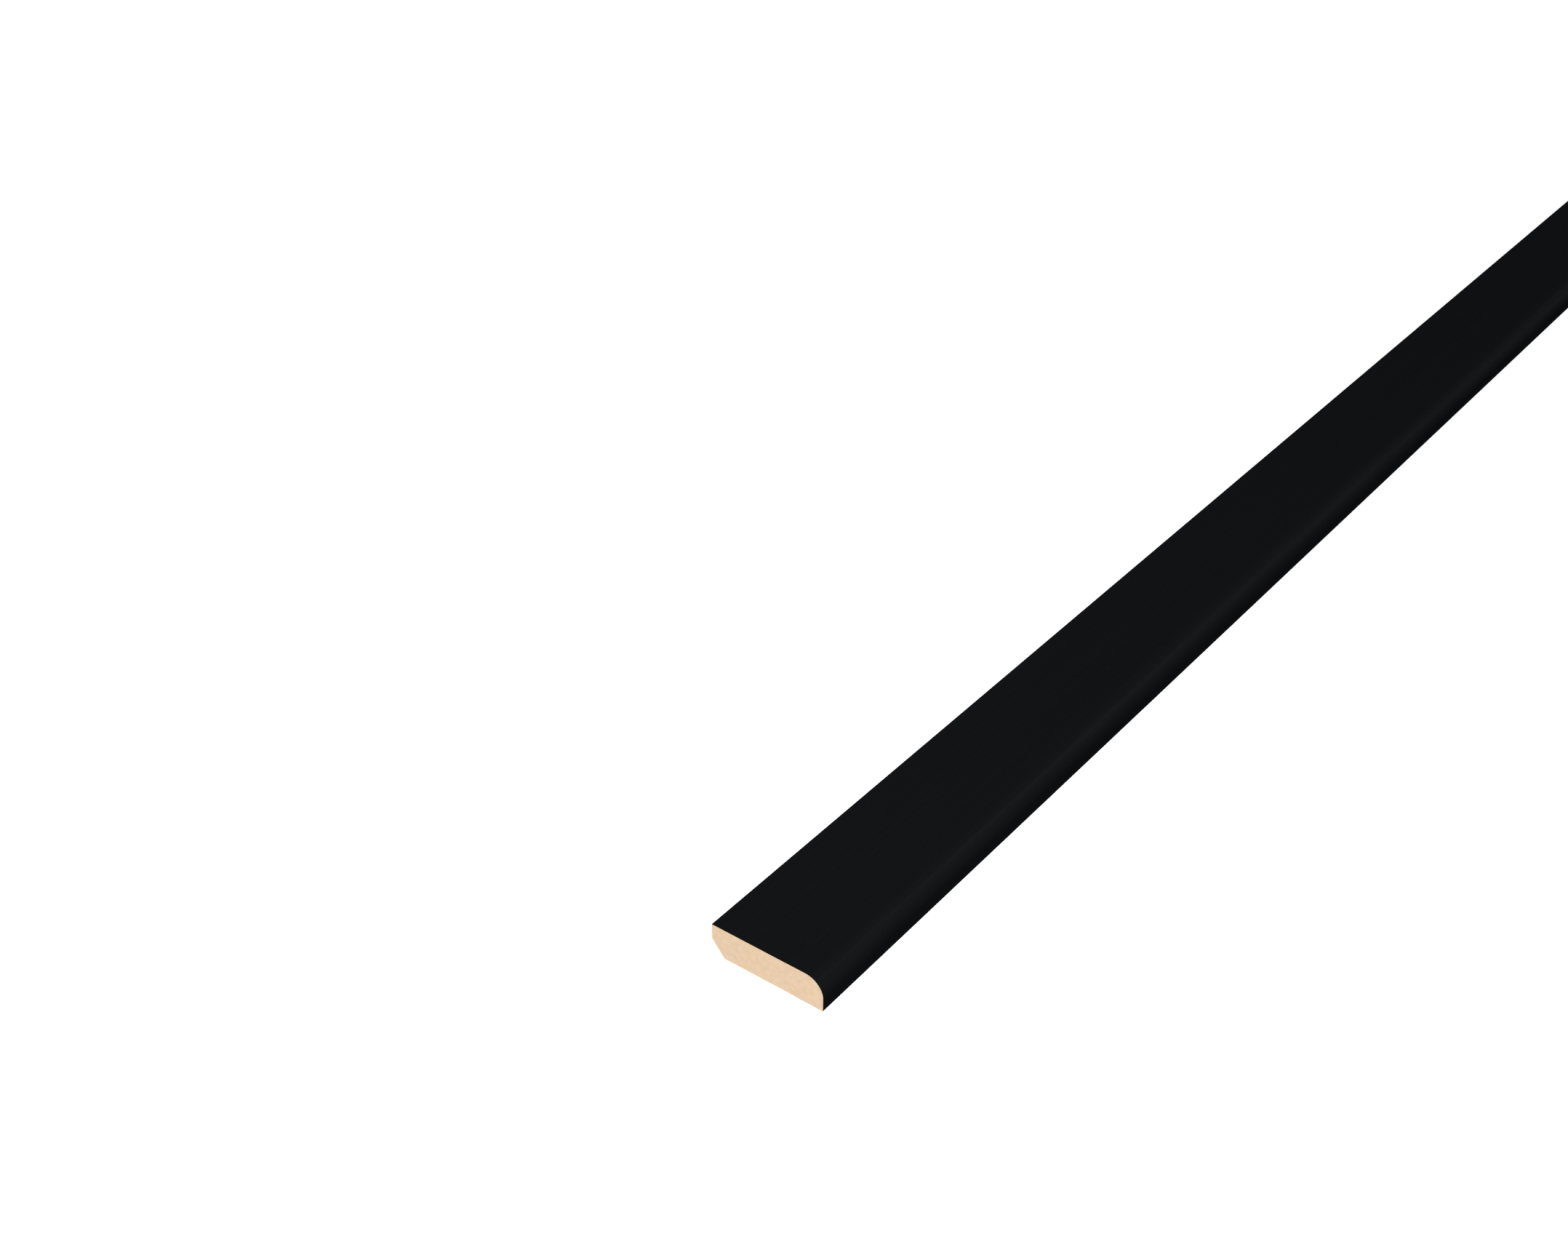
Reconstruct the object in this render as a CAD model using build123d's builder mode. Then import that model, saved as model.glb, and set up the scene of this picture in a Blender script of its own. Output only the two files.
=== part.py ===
from build123d import *

import os

# Cover strip: a moulded board strip wrapped in a thin decor foil, lying on its glued back.
# X runs along the strip, Y across it from the rounded front edge to the wall edge,
# and Z from the back up to the face. The origin is on the floor, under the middle of the strip.

# Driving dimensions, in millimetres
length = 2400.0  # stock length, sawn square at both ends
width = 22.0  # finished width, from the front edge to the wall edge
thickness = 6.0  # finished thickness, from the back to the face
nose_radius = 3.5  # finished rounding between the face and the front edge
undercut_width = 2.5  # sloping relief under the wall edge, measured across the back
undercut_height = 3.0  # the same relief, measured up the wall edge
foil_thickness = 0.05  # decor foil, laid into the board so that the finished faces are flush
foil_return = 5.5  # foil turned under the front edge, measured across the back
arris_radius = 0.05  # softened board arris that the foil is folded round

# Places that follow from them, as Y and Z in the strip's section
front_y = -width / 2
wall_y = width / 2
foil_edge_y = front_y + foil_return
undercut_y = wall_y - undercut_width
fold_radius = arris_radius + foil_thickness
nose_centre = (front_y + nose_radius, thickness - nose_radius)
fold_centre = (front_y + fold_radius, fold_radius)

os.makedirs("parts", exist_ok=True)


def draw_wrap(inset):
    """Draws the line that the foil follows round the strip, moved into the board by inset.

    It runs from the wall edge over the face, the nose and the front edge, and ends on the back.
    Returns its two ends.
    """
    face_z = thickness - inset
    face = Line((wall_y, face_z), (nose_centre[0], face_z))
    nose = CenterArc(nose_centre, nose_radius - inset, start_angle=90, arc_size=90)
    front = Line(nose @ 1, (front_y + inset, fold_centre[1]))
    fold = CenterArc(fold_centre, fold_radius - inset, start_angle=180, arc_size=90)
    turned_under = Line(fold @ 1, (foil_edge_y, inset))
    return face @ 0, turned_under @ 1


# Board core: its faces stand back by the foil wherever the foil covers them
with BuildPart() as mdf_core:
    with BuildSketch(Plane.YZ):
        with BuildLine():
            face_end, back_end = draw_wrap(inset=foil_thickness)
            Polyline(back_end, (foil_edge_y, 0), (undercut_y, 0), (wall_y, undercut_height), face_end)
        make_face()
    extrude(amount=length / 2, both=True)
mdf_core.part.label = "mdf_core"
export_step(mdf_core.part, "parts/mdf_core.step")

# Decor foil: one sheet glued round the face, the nose and the front edge, and onto the back
with BuildPart() as foil_wrap:
    with BuildSketch(Plane.YZ):
        with BuildLine():
            outer_face_end, outer_back_end = draw_wrap(inset=0)
            inner_face_end, inner_back_end = draw_wrap(inset=foil_thickness)
            Line(outer_face_end, inner_face_end)
            Line(outer_back_end, inner_back_end)
        make_face()
    extrude(amount=length / 2, both=True)
foil_wrap.part.label = "foil_wrap"
export_step(foil_wrap.part, "parts/foil_wrap.step")
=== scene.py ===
import math
import random

import bmesh
import bpy
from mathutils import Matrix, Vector, noise
from mathutils.geometry import delaunay_2d_cdt


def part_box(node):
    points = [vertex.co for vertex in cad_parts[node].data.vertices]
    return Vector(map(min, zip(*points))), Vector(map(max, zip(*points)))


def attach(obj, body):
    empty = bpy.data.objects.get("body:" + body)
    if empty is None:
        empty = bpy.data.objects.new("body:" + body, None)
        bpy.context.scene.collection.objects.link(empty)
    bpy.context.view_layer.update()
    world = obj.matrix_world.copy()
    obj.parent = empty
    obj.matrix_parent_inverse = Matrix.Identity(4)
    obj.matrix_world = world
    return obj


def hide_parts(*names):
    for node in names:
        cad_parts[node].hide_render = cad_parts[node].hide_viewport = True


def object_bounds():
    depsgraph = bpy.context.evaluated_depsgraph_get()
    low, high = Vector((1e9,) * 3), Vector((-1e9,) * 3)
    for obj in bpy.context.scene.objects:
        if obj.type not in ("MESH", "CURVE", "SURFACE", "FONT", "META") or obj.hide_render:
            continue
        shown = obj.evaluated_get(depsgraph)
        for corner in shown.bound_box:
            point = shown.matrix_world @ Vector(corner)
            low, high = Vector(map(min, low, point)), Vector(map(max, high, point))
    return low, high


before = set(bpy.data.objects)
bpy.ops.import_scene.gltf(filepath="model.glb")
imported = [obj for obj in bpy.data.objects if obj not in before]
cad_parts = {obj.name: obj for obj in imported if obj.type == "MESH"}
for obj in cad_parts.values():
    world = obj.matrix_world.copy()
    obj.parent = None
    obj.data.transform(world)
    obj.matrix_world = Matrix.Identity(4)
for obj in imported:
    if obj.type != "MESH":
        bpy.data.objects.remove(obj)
cadLow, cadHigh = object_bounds()
print("frame loaded:", sorted(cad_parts))

mm = 0.001  # the frame is in metres
white = (1.0, 1.0, 1.0, 1.0)
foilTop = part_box("foil_wrap")[1].z
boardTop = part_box("mdf_core")[1].z
nearFoot = Vector((cadLow.x, (cadLow.y + cadHigh.y) / 2, cadLow.z))  # middle of the near end's lower edge

section = {
    "foilThickness": foilTop - boardTop,
    "noseRadius": 3.5 * mm,
    "foldRadius": 0.1 * mm,  # outside of the foil's fold under the front edge
    "foilReturn": 5.5 * mm,  # foil turned under, measured from the front edge
    "undercutWidth": 2.5 * mm,
    "undercutHeight": 3.0 * mm,
    "arrisSoftening": 0.08 * mm,  # sanded corners of the bare board
    "noseSteps": 36,
    "foldSteps": 8,
    "cornerSteps": 4,
    "supportGap": 0.2 * mm,  # extra line beside a rounding, so that the flat beside it shades flat
    "lengthSteps": 60,
    "sharpDegrees": 35,  # an edge that turns by more than this shades sharp
}


# lines of the section, as (y, z) points

def arcLine(centre, radius, startDegrees, endDegrees, steps):
    points = []
    for step in range(steps + 1):
        angle = math.radians(startDegrees + (endDegrees - startDegrees) * step / steps)
        points.append((centre[0] + radius * math.cos(angle), centre[1] + radius * math.sin(angle)))
    return points


def softCorner(before, corner, after):
    size = section["arrisSoftening"]
    gap = section["supportGap"]
    middle = Vector(corner)
    towardBefore = (Vector(before) - middle).normalized()
    towardAfter = (Vector(after) - middle).normalized()
    points = [middle + towardBefore * (size + gap)]
    for step in range(section["cornerSteps"] + 1):
        t = step / section["cornerSteps"]
        points.append(middle + towardBefore * size * (1 - t) ** 2 + towardAfter * size * t ** 2)
    points.append(middle + towardAfter * (size + gap))
    return [tuple(point) for point in points]


def wrapLine(inset):  # the line that the foil follows, moved into the board by inset
    gap = section["supportGap"]
    noseCentre = (cadLow.y + section["noseRadius"], cadHigh.z - section["noseRadius"])
    foldCentre = (cadLow.y + section["foldRadius"], cadLow.z + section["foldRadius"])
    faceZ = cadHigh.z - inset
    frontY = cadLow.y + inset
    backZ = cadLow.z + inset
    line = [(cadHigh.y, faceZ), (noseCentre[0] + gap, faceZ)]
    line += arcLine(noseCentre, section["noseRadius"] - inset, 90, 180, section["noseSteps"])
    line += [(frontY, noseCentre[1] - gap), (frontY, foldCentre[1] + gap)]
    line += arcLine(foldCentre, section["foldRadius"] - inset, 180, 270, section["foldSteps"])
    line += [(foldCentre[0] + gap, backZ), (cadLow.y + section["foilReturn"], backZ)]
    return line


def boardLine():  # the board's own outline, with the shallow seat of the foil's return
    line = wrapLine(section["foilThickness"])
    seatEdge = (cadLow.y + section["foilReturn"], cadLow.z)
    undercutFoot = (cadHigh.y - section["undercutWidth"], cadLow.z)
    lipFoot = (cadHigh.y, cadLow.z + section["undercutHeight"])
    line.append(seatEdge)
    line += softCorner(seatEdge, undercutFoot, lipFoot)
    line += softCorner(undercutFoot, lipFoot, line[0])
    return line


# objects and meshes

def addObject(name, data):
    item = bpy.data.objects.new(name, data)
    bpy.context.scene.collection.objects.link(item)
    return item


def lengthStations():
    steps = section["lengthSteps"]
    return [cadLow.x + (cadHigh.x - cadLow.x) * step / steps for step in range(steps + 1)]


def sweptRings(shape, line):  # one ring of points for each station, joined along the strip
    rings = []
    for x in lengthStations():
        rings.append([shape.verts.new((x, y, z)) for y, z in line])
    for near, far in zip(rings, rings[1:]):
        for i in range(len(line)):
            j = (i + 1) % len(line)
            shape.faces.new((near[i], near[j], far[j], far[i]))
    return rings


def finishPiece(shape, name, materials):
    bmesh.ops.recalc_face_normals(shape, faces=shape.faces)
    for face in shape.faces:
        face.smooth = True
    for edge in shape.edges:
        edge.smooth = edge.calc_face_angle(0.0) < math.radians(section["sharpDegrees"])
    mesh = bpy.data.meshes.new(name)
    shape.to_mesh(mesh)
    shape.free()
    for material in materials:
        mesh.materials.append(material)
    print("made", name, "with", len(mesh.polygons), "faces")
    return addObject(name, mesh)


# material nodes

def addNode(tree, kind, **settings):  # a setting is an input of the node where it has one of that name
    node = tree.nodes.new(kind)
    for key, value in settings.items():
        if key in node.inputs:
            node.inputs[key].default_value = value
        else:
            setattr(node, key, value)
    return node


def newMaterial(name):
    material = bpy.data.materials.new(name)
    material.use_nodes = True
    tree = material.node_tree
    return material, tree, tree.nodes["Principled BSDF"]


def newGroup(name, inputs, outputs):
    group = bpy.data.node_groups.new(name, "ShaderNodeTree")
    group.interface.new_socket(name="Place", in_out="INPUT", socket_type="NodeSocketVector")
    for socketName, socketType, value in inputs:
        socket = group.interface.new_socket(name=socketName, in_out="INPUT", socket_type=socketType)
        socket.default_value = value
    for socketName in outputs:
        group.interface.new_socket(name=socketName, in_out="OUTPUT", socket_type="NodeSocketFloat")
    return group, group.nodes.new("NodeGroupInput"), group.nodes.new("NodeGroupOutput")


def objectPlace(tree):
    return addNode(tree, "ShaderNodeTexCoord").outputs["Object"]


def placeGroup(tree, group, values):
    node = addNode(tree, "ShaderNodeGroup", node_tree=group)
    for socketName, value in values.items():
        node.inputs[socketName].default_value = value
    tree.links.new(objectPlace(tree), node.inputs["Place"])
    return node


def rampBetween(tree, value, darkColour, paleColour, fadeRange):
    ramp = addNode(tree, "ShaderNodeValToRGB")
    for element, position, colour in zip(ramp.color_ramp.elements, fadeRange, (darkColour, paleColour)):
        element.position = position
        element.color = (*colour, 1.0)
    tree.links.new(value, ramp.inputs["Fac"])
    return ramp.outputs["Color"]


def mixColour(tree, amount, first, second):
    mix = addNode(tree, "ShaderNodeMix", data_type="RGBA")
    tree.links.new(amount, mix.inputs["Factor"])
    tree.links.new(first, mix.inputs["A"])
    mix.inputs["B"].default_value = (*second, 1.0)
    return mix.outputs["Result"]


def combine(tree, operation, first, second):
    node = addNode(tree, "ShaderNodeMath", operation=operation)
    tree.links.new(first, node.inputs[0])
    tree.links.new(second, node.inputs[1])
    return node.outputs["Value"]


def scaleValue(tree, value, factor, offset=0.0, clamp=False):
    scaled = addNode(tree, "ShaderNodeMath", operation="MULTIPLY_ADD", use_clamp=clamp)
    tree.links.new(value, scaled.inputs[0])
    scaled.inputs[1].default_value = factor
    scaled.inputs[2].default_value = offset
    return scaled.outputs["Value"]


def spreadAround(tree, value, middle, spread):  # 0 to 1 becomes the middle, less or plus half the spread
    return scaleValue(tree, value, spread, middle - spread / 2)


def addBump(tree, shader, height, strength, depth):
    bump = addNode(tree, "ShaderNodeBump", Strength=strength, Distance=depth)
    tree.links.new(height, bump.inputs["Height"])
    tree.links.new(bump.outputs["Normal"], shader.inputs["Normal"])


# pressed wood fibre: soft clouds, short flecks and a fine felted height

fibreEffect = {
    "cloudScale": 900.0,
    "cloudDetail": 2.0,
    "cloudRoughness": 0.5,
    "fleckScale": 2600.0,
    "fleckDetail": 3.0,
    "fleckRoughness": 0.6,
    "fleckDistortion": 0.6,
    "fleckFrom": 0.52,  # noise level at which a fleck begins to show
    "fleckFull": 0.72,
    "evenStretch": (1.0, 1.0, 1.0),
}


def makeFibreGroup():
    group, inside, outside = newGroup(
        "pressedFibre",
        [
            ("Cloud Scale", "NodeSocketFloat", fibreEffect["cloudScale"]),
            ("Fleck Scale", "NodeSocketFloat", fibreEffect["fleckScale"]),
            ("Stretch", "NodeSocketVector", fibreEffect["evenStretch"]),
        ],
        ["Cloud", "Fleck", "Height"],
    )
    stretch = addNode(group, "ShaderNodeVectorMath", operation="MULTIPLY")
    cloud = addNode(
        group,
        "ShaderNodeTexNoise",
        Detail=fibreEffect["cloudDetail"],
        Roughness=fibreEffect["cloudRoughness"],
    )
    fleck = addNode(
        group,
        "ShaderNodeTexNoise",
        Detail=fibreEffect["fleckDetail"],
        Roughness=fibreEffect["fleckRoughness"],
        Distortion=fibreEffect["fleckDistortion"],
    )
    sharpen = addNode(group, "ShaderNodeMapRange", interpolation_type="SMOOTHSTEP")
    sharpen.inputs["From Min"].default_value = fibreEffect["fleckFrom"]
    sharpen.inputs["From Max"].default_value = fibreEffect["fleckFull"]
    height = combine(group, "ADD", cloud.outputs["Fac"], fleck.outputs["Fac"])
    link = group.links.new
    link(inside.outputs["Place"], stretch.inputs[0])
    link(inside.outputs["Stretch"], stretch.inputs[1])
    for texture, scaleName in ((cloud, "Cloud Scale"), (fleck, "Fleck Scale")):
        link(stretch.outputs["Vector"], texture.inputs["Vector"])
        link(inside.outputs[scaleName], texture.inputs["Scale"])
    link(fleck.outputs["Fac"], sharpen.inputs["Value"])
    link(cloud.outputs["Fac"], outside.inputs["Cloud"])
    link(sharpen.outputs["Result"], outside.inputs["Fleck"])
    link(height, outside.inputs["Height"])
    return group


# faint marks that run along the strip, from the cutter and the wrapping rollers

runningEffect = {
    "acrossScale": 1500.0,
    "alongScale": 6.0,
    "detail": 2.0,
    "roughness": 0.55,
}


def makeRunningGroup():
    group, inside, outside = newGroup(
        "runningMarks",
        [
            ("Across Scale", "NodeSocketFloat", runningEffect["acrossScale"]),
            ("Along Scale", "NodeSocketFloat", runningEffect["alongScale"]),
        ],
        ["Marks"],
    )
    scales = addNode(group, "ShaderNodeCombineXYZ")
    stretch = addNode(group, "ShaderNodeVectorMath", operation="MULTIPLY")
    marks = addNode(
        group,
        "ShaderNodeTexNoise",
        Scale=1.0,  # the stretch gives the scale
        Detail=runningEffect["detail"],
        Roughness=runningEffect["roughness"],
    )
    link = group.links.new
    link(inside.outputs["Along Scale"], scales.inputs["X"])
    link(inside.outputs["Across Scale"], scales.inputs["Y"])
    link(inside.outputs["Across Scale"], scales.inputs["Z"])
    link(inside.outputs["Place"], stretch.inputs[0])
    link(scales.outputs["Vector"], stretch.inputs[1])
    link(stretch.outputs["Vector"], marks.inputs["Vector"])
    link(marks.outputs["Fac"], outside.inputs["Marks"])
    return group


fibreGroup = makeFibreGroup()
runningGroup = makeRunningGroup()
print("shared effects made")


# the board, its moulded faces and its sawn ends

board = {
    "paleColour": (0.84, 0.639, 0.458),
    "darkColour": (0.77, 0.568, 0.378),
    "cloudRange": (0.3, 0.7),  # noise levels of the dark and the pale colour
    "fleckColour": (0.62, 0.42, 0.25),
    "honeyColour": (0.83, 0.615, 0.378),  # yellower patches, a millimetre or two wide
    "honeyScale": 420.0,
    "honeyFrom": 0.5,  # noise level at which a patch begins to show
    "honeyGain": 2.4,
    "moulded": {"fleck": 0.18, "marks": 0.25, "stretch": (0.35, 1.0, 1.0)},  # longer along the strip
    "sawn": {"fleck": 0.10, "marks": 0.0, "stretch": (1.0, 1.0, 1.0)},
    "roughness": 0.85,
    "roughnessSpread": 0.1,
    "specular": 0.2,
    "bumpStrength": 0.35,
    "bumpDepth": 0.02 * mm,
    "endSpacing": 0.14 * mm,  # between the points on a sawn end
    "endMargin": 0.07 * mm,  # kept free of points along its outline
    "endJitter": (0.2, 0.8),  # where a point lies in its cell, in shares of the spacing
    "endRelief": 0.03 * mm,  # torn fibre, into the board
    "reliefScale": 2.4 / mm,
    "reliefDetail": (0.8, 2.1, 4),  # smoothness, step between octaves, number of octaves
    "reliefShift": 7.3 * mm,  # so that the two ends differ
    "seed": 11,
}


def boardMaterial(name, finish):
    material, tree, shader = newMaterial(name)
    fibre = placeGroup(tree, fibreGroup, {"Stretch": finish["stretch"]})
    running = placeGroup(tree, runningGroup, {})
    cloud = fibre.outputs["Cloud"]
    colour = rampBetween(tree, cloud, board["darkColour"], board["paleColour"], board["cloudRange"])
    patchScale = {"Cloud Scale": board["honeyScale"], "Stretch": finish["stretch"]}
    patches = placeGroup(tree, fibreGroup, patchScale)
    honeyOffset = -board["honeyGain"] * board["honeyFrom"]
    honey = scaleValue(tree, patches.outputs["Cloud"], board["honeyGain"], honeyOffset, clamp=True)
    colour = mixColour(tree, honey, colour, board["honeyColour"])
    flecks = scaleValue(tree, fibre.outputs["Fleck"], finish["fleck"])
    colour = mixColour(tree, flecks, colour, board["fleckColour"])
    marks = scaleValue(tree, running.outputs["Marks"], finish["marks"])
    colour = mixColour(tree, marks, colour, board["darkColour"])
    tree.links.new(colour, shader.inputs["Base Color"])
    roughness = spreadAround(tree, cloud, board["roughness"], board["roughnessSpread"])
    tree.links.new(roughness, shader.inputs["Roughness"])
    shader.inputs["Specular IOR Level"].default_value = board["specular"]
    addBump(tree, shader, fibre.outputs["Height"], board["bumpStrength"], board["bumpDepth"])
    return material


def loopEdges(loop):
    return zip(loop, loop[1:] + loop[:1])


def distanceToLoop(point, loop):
    distances = []
    for start, end in loopEdges(loop):
        along = end - start
        t = max(0.0, min(1.0, (point - start).dot(along) / along.length_squared))
        distances.append((point - start - along * t).length)
    return min(distances)


def insideLoop(point, loop):
    inside = False
    for start, end in loopEdges(loop):
        if (start.y > point.y) != (end.y > point.y):
            crossing = start.x + (point.y - start.y) / (end.y - start.y) * (end.x - start.x)
            if point.x < crossing:
                inside = not inside
    return inside


def endPoints(loop):  # loosely spread points over a sawn end, in millimetres
    scatter = random.Random(board["seed"])
    spacing = board["endSpacing"] / mm
    margin = board["endMargin"] / mm
    points = []
    for row in range(int(cadHigh.z / mm / spacing)):
        for column in range(int((cadHigh.y - cadLow.y) / mm / spacing)):
            y = cadLow.y / mm + (column + scatter.uniform(*board["endJitter"])) * spacing
            z = cadLow.z / mm + (row + scatter.uniform(*board["endJitter"])) * spacing
            point = Vector((y, z))
            if insideLoop(point, loop) and distanceToLoop(point, loop) > margin:
                points.append(point)
    return points


def endDepth(y, z, end):
    place = Vector((y, z, end * board["reliefShift"])) * board["reliefScale"]
    depth = board["endRelief"] * (0.5 + 0.5 * noise.fractal(place, *board["reliefDetail"]))
    return max(0.0, depth)


def closeEnds(shape, rings, line):
    loop = [Vector((y / mm, z / mm)) for y, z in line]  # in millimetres, for the triangulation
    edges = [(i, (i + 1) % len(loop)) for i in range(len(loop))]
    insideOnly = 1
    mergeDistance = 1e-6
    flat = delaunay_2d_cdt(loop + endPoints(loop), edges, [], insideOnly, mergeDistance)
    flatPoints, triangles, sources = flat[0], flat[2], flat[3]
    for end, ring, inward in ((1, rings[0], 1), (2, rings[-1], -1)):
        corners = []
        for point, source in zip(flatPoints, sources):
            if source and source[0] < len(loop):
                corners.append(ring[source[0]])
                continue
            y, z = point * mm
            x = ring[0].co.x + inward * endDepth(y, z, end)
            corners.append(shape.verts.new((x, y, z)))
        for triangle in triangles:
            face = shape.faces.new([corners[i] for i in triangle])
            face.material_index = 1  # the sawn finish


def buildBoard():
    shape = bmesh.new()
    line = boardLine()
    rings = sweptRings(shape, line)
    closeEnds(shape, rings, line)
    moulded = boardMaterial("mouldedBoard", board["moulded"])
    sawn = boardMaterial("sawnBoard", board["sawn"])
    return finishPiece(shape, "boardCore", [moulded, sawn])


boardPiece = buildBoard()
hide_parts("mdf_core")
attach(boardPiece, "root")


# the black foil

foil = {
    "darkColour": (0.0050, 0.0054, 0.0062),
    "paleColour": (0.0060, 0.0065, 0.0074),
    "marksRange": (0.25, 0.75),  # noise levels of the dark and the pale colour
    "roughness": 0.6,
    "roughnessSpread": 0.08,
    "specular": 0.0,  # the gloss is the lacquer's
    "lacquer": 0.004,  # weight of the thin satin top coat
    "burnish": 0.022,  # more of it on the nose, where the wrapping rollers press hardest
    "burnishGain": 2.6,  # brings the highest value of the nose's mask to 1
    "lacquerRoughness": 0.5,
    "streakSpread": 0.4,  # share by which the lacquer changes from streak to streak
    "embossScale": 7000.0,
    "embossDetail": 1.0,
    "embossStrength": 0.2,
    "embossDepth": 0.004 * mm,
}


def noseMask(tree):  # 1 about 35 degrees round the nose, and 0 on the face, the front edge and the back
    coords = addNode(tree, "ShaderNodeTexCoord")
    parts = addNode(tree, "ShaderNodeSeparateXYZ")
    tree.links.new(coords.outputs["Normal"], parts.inputs["Vector"])
    halfway = combine(tree, "MULTIPLY", parts.outputs["Y"], parts.outputs["Z"])
    upper = combine(tree, "MULTIPLY", halfway, parts.outputs["Z"])
    return scaleValue(tree, upper, -foil["burnishGain"], clamp=True)


def foilMaterial():
    material, tree, shader = newMaterial("blackFoil")
    marks = placeGroup(tree, runningGroup, {}).outputs["Marks"]
    colour = rampBetween(tree, marks, foil["darkColour"], foil["paleColour"], foil["marksRange"])
    tree.links.new(colour, shader.inputs["Base Color"])
    roughness = spreadAround(tree, marks, foil["roughness"], foil["roughnessSpread"])
    tree.links.new(roughness, shader.inputs["Roughness"])
    shader.inputs["Specular IOR Level"].default_value = foil["specular"]
    lacquer = scaleValue(tree, noseMask(tree), foil["burnish"], foil["lacquer"])
    streaks = spreadAround(tree, marks, 1.0, foil["streakSpread"])
    tree.links.new(combine(tree, "MULTIPLY", lacquer, streaks), shader.inputs["Coat Weight"])
    shader.inputs["Coat Roughness"].default_value = foil["lacquerRoughness"]
    emboss = addNode(tree, "ShaderNodeTexNoise", Scale=foil["embossScale"], Detail=foil["embossDetail"])
    tree.links.new(objectPlace(tree), emboss.inputs["Vector"])
    addBump(tree, shader, emboss.outputs["Fac"], foil["embossStrength"], foil["embossDepth"])
    return material


def buildFoil():
    shape = bmesh.new()
    outer = wrapLine(0.0)
    inner = wrapLine(section["foilThickness"])
    rings = sweptRings(shape, outer + inner[::-1])
    last = len(outer) + len(inner) - 1
    for ring in (rings[0], rings[-1]):
        for i in range(len(outer) - 1):
            shape.faces.new((ring[i], ring[i + 1], ring[last - i - 1], ring[last - i]))
    return finishPiece(shape, "foilWrapSheet", [foilMaterial()])


foilPiece = buildFoil()
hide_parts("foil_wrap")
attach(foilPiece, "root")


# floor, wall and lamps

studio = {
    "floorSize": 90.0,
    "floorGap": 0.01 * mm,  # under the strip
    "paleness": 0.8,  # of the floor as it is seen, which carries the shadow
    "bounce": 0.15,  # of the floor as it lights the strip
    "floorGlow": 0.43,  # seen by the camera and in reflections only
    "wallGlow": 1.0,
    "wallRadius": 24.0,
    "wallHeight": 9.5,
    "wallSides": 64,
    "ambient": 0.12,
    "suns": {  # toward is from the strip to the lamp, and angle is in degrees
        "keyLamp": {"toward": (-0.83, -0.09, 0.55), "strength": 1.86, "angle": 40.0},
        "rimLamp": {"toward": (0.60, -0.62, 0.50), "strength": 1.43, "angle": 40.0},
        "fillLamp": {"toward": (0.56, 0.82, 0.12), "strength": 1.9, "angle": 50.0},  # for the wall edge
    },
    "softboxPlace": (-0.26, -0.21, 0.34),  # from the middle of the near end's foot
    "softboxSize": 0.24,
    "softboxPower": 1.58,
}


def seenDirectly(tree):  # 1 for camera, glossy and transmission rays, 0 for the light on the strip
    rays = addNode(tree, "ShaderNodeLightPath").outputs
    seen = combine(tree, "MAXIMUM", rays["Is Camera Ray"], rays["Is Glossy Ray"])
    return combine(tree, "MAXIMUM", seen, rays["Is Transmission Ray"])


def paleMaterial(name, glowStrength):
    material, tree, shader = newMaterial(name)
    seen = seenDirectly(tree)
    grey = scaleValue(tree, seen, studio["paleness"] - studio["bounce"], studio["bounce"])
    tree.links.new(grey, shader.inputs["Base Color"])
    shader.inputs["Roughness"].default_value = 1.0
    shader.inputs["Specular IOR Level"].default_value = 0.0
    shader.inputs["Emission Color"].default_value = white
    tree.links.new(scaleValue(tree, seen, glowStrength), shader.inputs["Emission Strength"])
    return material


def addStage(name, points, faces, glowStrength):
    mesh = bpy.data.meshes.new(name)
    mesh.from_pydata(points, [], faces)
    mesh.materials.append(paleMaterial(name, glowStrength))
    piece = addObject(name, mesh)
    piece.location.z = cadLow.z - studio["floorGap"]
    return piece


def buildFloor():
    half = studio["floorSize"] / 2
    corners = [(-half, -half, 0), (half, -half, 0), (half, half, 0), (-half, half, 0)]
    addStage("paleFloor", corners, [(0, 1, 2, 3)], studio["floorGlow"])


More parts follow.
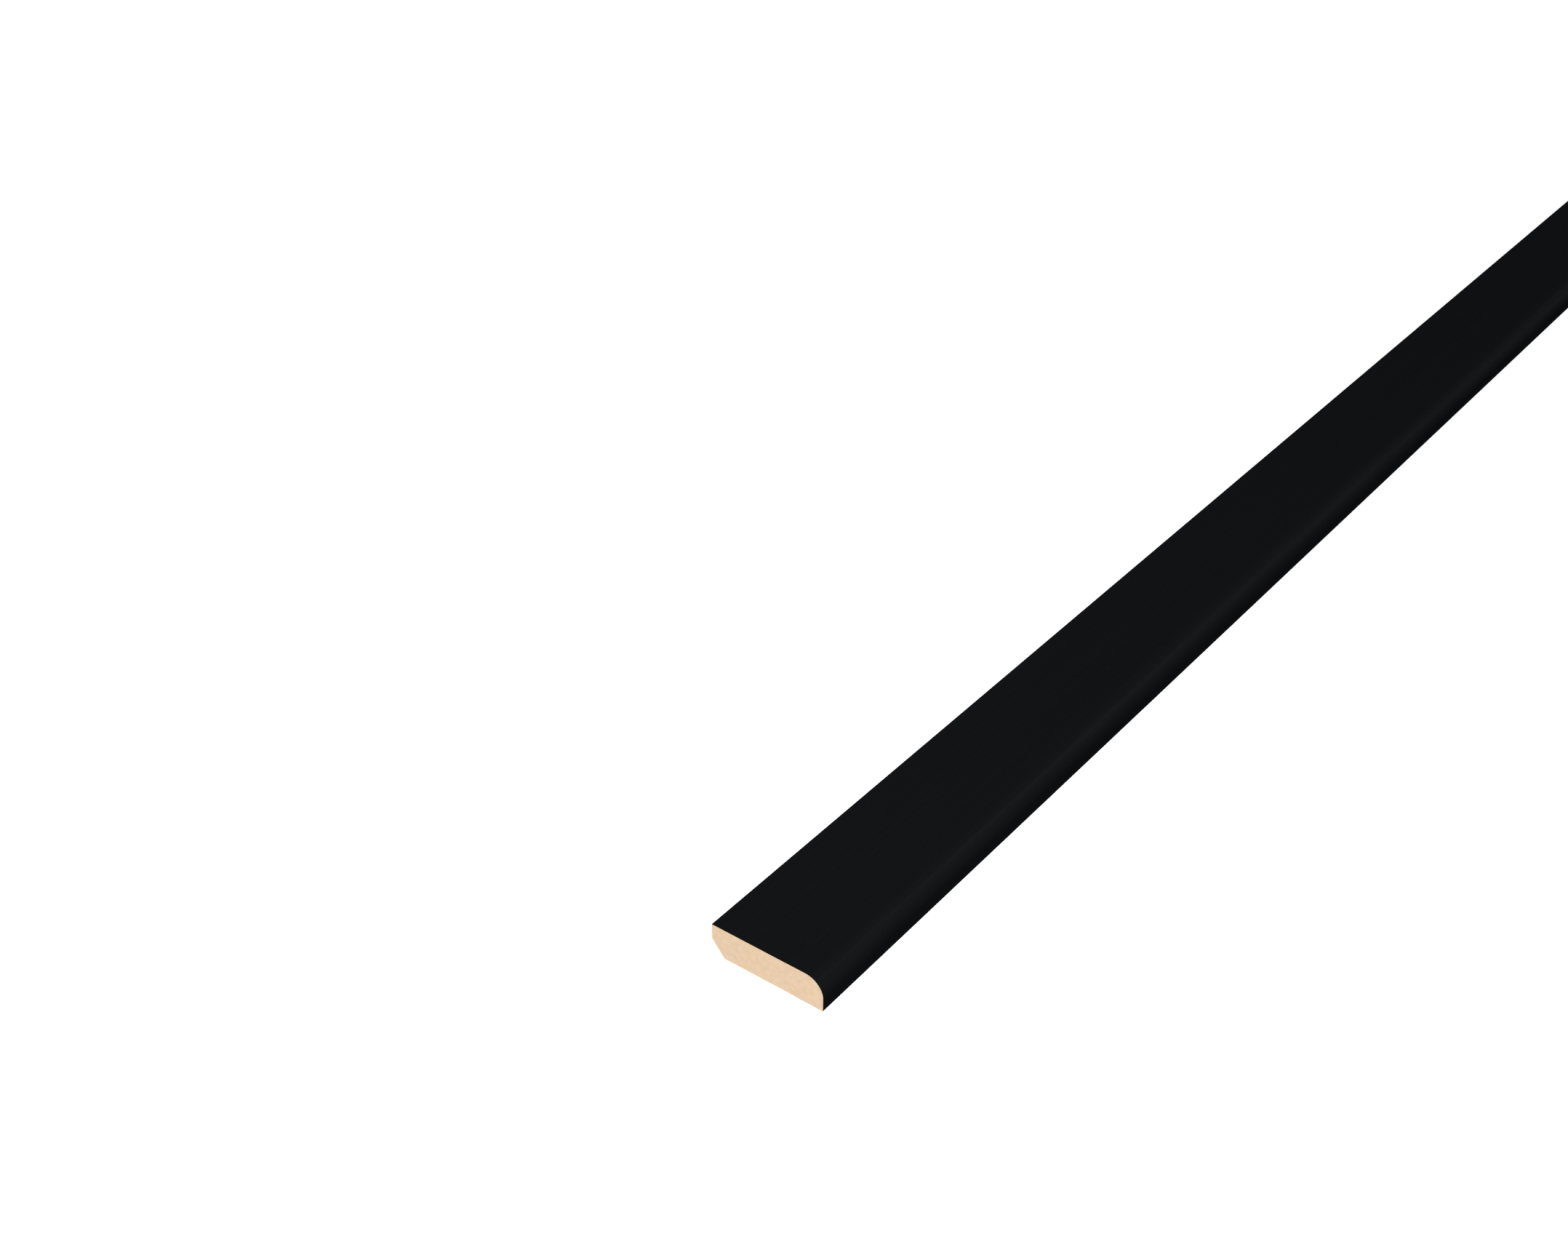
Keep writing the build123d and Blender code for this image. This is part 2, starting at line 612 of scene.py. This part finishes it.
def buildWall():  # round the floor, to hide the horizon in the lower views
    sides = studio["wallSides"]
    points = []
    faces = []
    for side in range(sides):
        angle = 2 * math.pi * side / sides
        x = studio["wallRadius"] * math.cos(angle)
        y = studio["wallRadius"] * math.sin(angle)
        after = (side + 1) % sides
        points += [(x, y, 0), (x, y, studio["wallHeight"])]
        faces.append((2 * side, 2 * side + 1, 2 * after + 1, 2 * after))
    wall = addStage("paleWall", points, faces, studio["wallGlow"])
    wall.visible_shadow = False
    wall.visible_diffuse = False


def buildWorld():
    world = bpy.data.worlds.new("studioRoom")
    world.use_nodes = True
    bpy.context.scene.world = world
    background = world.node_tree.nodes["Background"]
    background.inputs["Color"].default_value = white
    background.inputs["Strength"].default_value = studio["ambient"]


def pointLamp(lamp, toward):  # turns it to shine back along toward
    lamp.rotation_euler = Vector(toward).to_track_quat("Z", "Y").to_euler()


def buildSuns():
    for name, sun in studio["suns"].items():
        light = bpy.data.lights.new(name, "SUN")
        light.energy = sun["strength"]
        light.angle = math.radians(sun["angle"])
        pointLamp(addObject(name, light), sun["toward"])


def buildSoftbox():  # a near lamp over the near end, so that the strip darkens along its length
    light = bpy.data.lights.new("softbox", "AREA")
    light.energy = studio["softboxPower"]
    light.size = studio["softboxSize"]
    softbox = addObject("softbox", light)
    softbox.location = nearFoot + Vector(studio["softboxPlace"])
    softbox.visible_camera = False
    pointLamp(softbox, studio["softboxPlace"])


# camera

photoView = {
    "eye": (-186.0 * mm, -145.75 * mm, 222.0 * mm),  # from the middle of the near end's foot
    "yaw": 37.43,  # degrees from the strip's length towards its wall edge
    "pitch": 33.346,  # degrees down
    "lens": 46.70,
    "sensorWidth": 36.0,
    "clipStart": 0.001,
}


def buildCamera():
    lens = bpy.data.cameras.new("photoCamera")
    lens.lens = photoView["lens"]
    lens.sensor_width = photoView["sensorWidth"]
    lens.clip_start = photoView["clipStart"]
    camera = addObject("photoCamera", lens)
    camera.location = nearFoot + Vector(photoView["eye"])
    camera.rotation_euler = (math.radians(90 - photoView["pitch"]), 0, math.radians(photoView["yaw"] - 90))
    bpy.context.scene.camera = camera


buildFloor()
buildWall()
buildWorld()
buildSuns()
buildSoftbox()
buildCamera()
bpy.context.scene.view_settings.view_transform = "Standard"
print("stage, light and camera set")
